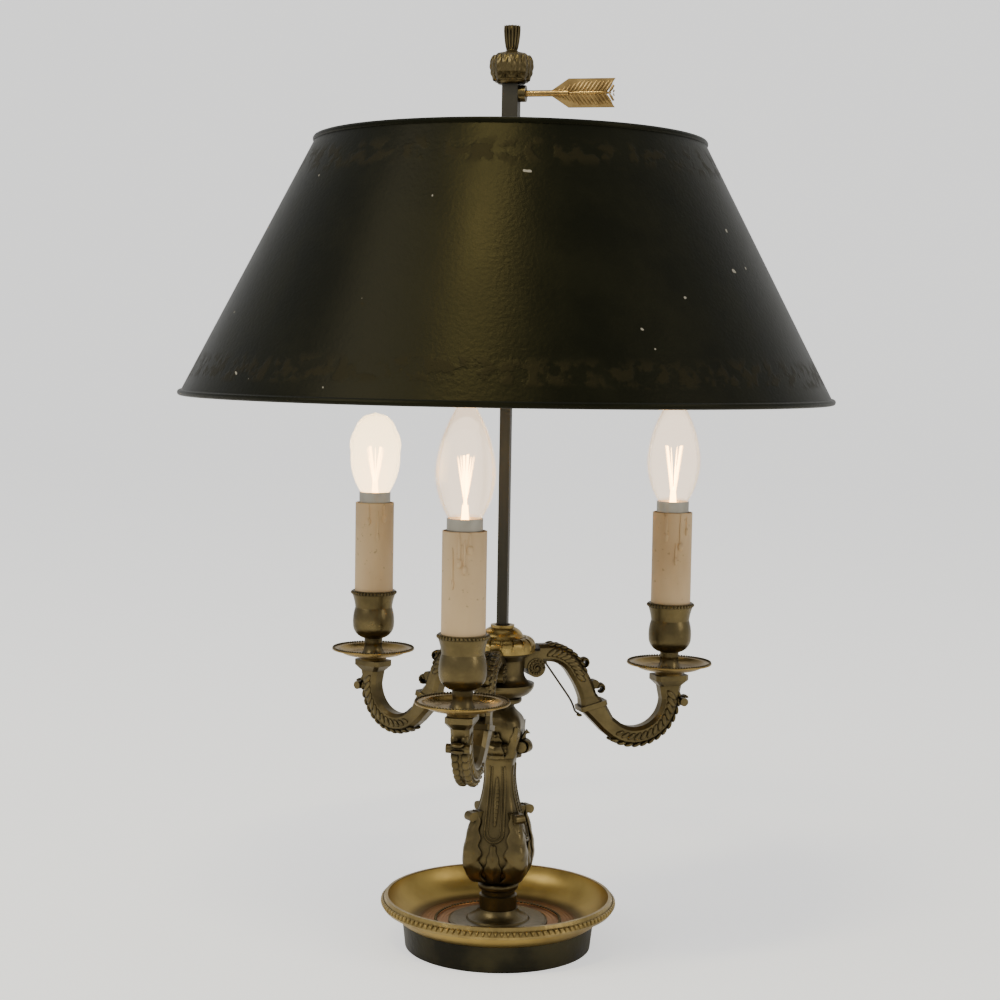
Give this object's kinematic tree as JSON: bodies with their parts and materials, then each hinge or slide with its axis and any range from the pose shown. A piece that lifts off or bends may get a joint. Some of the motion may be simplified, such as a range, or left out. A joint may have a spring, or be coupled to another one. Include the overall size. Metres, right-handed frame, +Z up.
{
  "type": "bouillotte lamp",
  "caption": "Three-light bouillotte table lamp: dished brass base, leafy bronze stem and arms, and a dark painted metal cone shade that slides on a square rod with an arrow key.",
  "frame": {"origin": "centre of the foot's circle on the table", "axes": "+Z up along the rod; -Y towards the front arm; +X along the arrow key"},
  "size_m": [0.4299, 0.43, 0.6118],
  "materials": {
    "bronze": "aged satin",
    "gilt_brass": "aged gilt",
    "foot_patina": "dark satin",
    "plain_brass": "plain",
    "steel": "plain",
    "ballast": "cast",
    "felt": "felt",
    "candle": "waxy satin",
    "cap_metal": "plain",
    "bulb_glass": "clear",
    "filament": "glowing",
    "rod_metal": "dark satin",
    "key_gilt": "rubbed gilt",
    "tole": "satin gloss paint",
    "lead_sleeve": "dark sleeve"
  },
  "bodies": {
    "lamp": {"arm_front": "bronze", "arm_lead_right": "lead_sleeve", "arm_left": "bronze", "arm_right": "bronze", "arm_studs": "plain_brass", "ballast_disc": "ballast", "base_dish": "gilt_brass", "base_nut": "plain_brass", "base_plate": "steel", "base_washer": "plain_brass", "bulb_cap_front": "cap_metal", "bulb_cap_left": "cap_metal", "bulb_cap_right": "cap_metal", "bulb_front": "bulb_glass", "bulb_left": "bulb_glass", "bulb_right": "bulb_glass", "candle_cup_front": "bronze", "candle_cup_left": "bronze", "candle_cup_right": "bronze", "candle_front": "candle", "candle_left": "candle", "candle_right": "candle", "drip_pan_front": "gilt_brass", "drip_pan_left": "gilt_brass", "drip_pan_right": "gilt_brass", "felt_pad": "felt", "filaments_front": "filament", "filaments_left": "filament", "filaments_right": "filament", "finial": "bronze", "floor_ring": "gilt_brass", "foot_ring": "foot_patina", "hub_cap": "gilt_brass", "hub_collar": "bronze", "hub_drum": "bronze", "inlet_bush": "plain_brass", "lampholder_front": "plain_brass", "lampholder_left": "plain_brass", "lampholder_right": "plain_brass", "leaf_rim": "bronze", "nipple_front": "plain_brass", "nipple_left": "plain_brass", "nipple_right": "plain_brass", "square_rod": "rod_metal", "stem_baluster": "bronze", "stem_capital": "bronze", "stem_plinth": "bronze", "stem_ring": "bronze", "tie_tube": "plain_brass"},
    "carriage": {"slider": "rod_metal", "key_boss": "bronze", "shade_spider": "plain_brass", "shade_cone": "tole", "shade_top_hem": "tole", "shade_bottom_hem": "tole"},
    "key": {"arrow_key": "key_gilt"}
  },
  "joints": [
    {"name": "shade_slide", "type": "slide", "parent": "lamp", "child": "carriage", "axis": [0, 0, 1], "range_m": [-0.12, 0]},
    {"name": "key_turn", "type": "hinge", "parent": "carriage", "child": "key", "pos_m": [0, 0, 0.5676], "axis": [1, 0, 0], "range_deg": [0, 360]}
  ]
}
